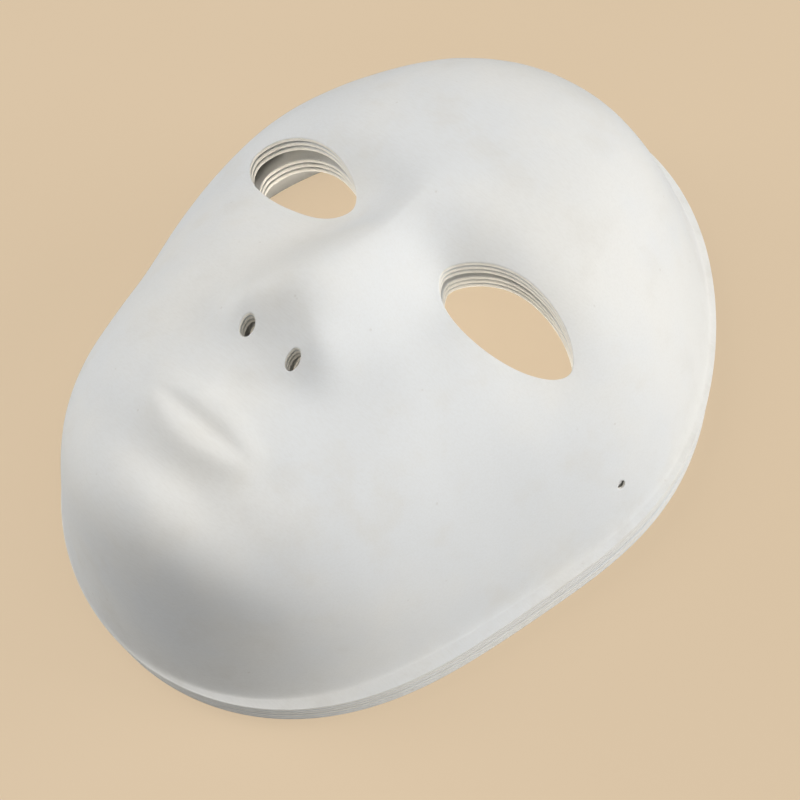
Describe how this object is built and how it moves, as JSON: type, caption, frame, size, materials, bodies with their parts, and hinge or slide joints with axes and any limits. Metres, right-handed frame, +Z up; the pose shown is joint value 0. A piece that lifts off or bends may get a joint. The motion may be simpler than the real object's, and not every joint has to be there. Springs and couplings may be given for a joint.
{
  "type": "full-face mask stack",
  "caption": "Nested stack of plain blank full-face masks in moulded paper pulp, face up, with open eyes, nostrils and cord holes; each mask lifts off for painting and wearing.",
  "frame": {"origin": "middle of the stack's outline on the table, under the lowest lip", "axes": "+X to the wearer's left, +Y to the forehead, +Z up out of the face"},
  "size_m": [0.1752, 0.222, 0.0894],
  "materials": {
    "pulp": "matte"
  },
  "bodies": {
    "mask_1": {"mask_1": "pulp"},
    "mask_2": {"mask_2": "pulp"},
    "mask_3": {"mask_3": "pulp"},
    "mask_4": {"mask_4": "pulp"},
    "mask_5": {"mask_5": "pulp"},
    "mask_6": {"mask_6": "pulp"}
  },
  "joints": [
    {"name": "lift_2", "type": "slide", "parent": "mask_1", "child": "mask_2", "axis": [0, 0, 1], "range_m": [0, 0.1]},
    {"name": "lift_3", "type": "slide", "parent": "mask_2", "child": "mask_3", "axis": [0, 0, 1], "range_m": [0, 0.1]},
    {"name": "lift_4", "type": "slide", "parent": "mask_3", "child": "mask_4", "axis": [0, 0, 1], "range_m": [0, 0.1]},
    {"name": "lift_5", "type": "slide", "parent": "mask_4", "child": "mask_5", "axis": [0, 0, 1], "range_m": [0, 0.1]},
    {"name": "lift_6", "type": "slide", "parent": "mask_5", "child": "mask_6", "axis": [0, 0, 1], "range_m": [0, 0.1]}
  ]
}
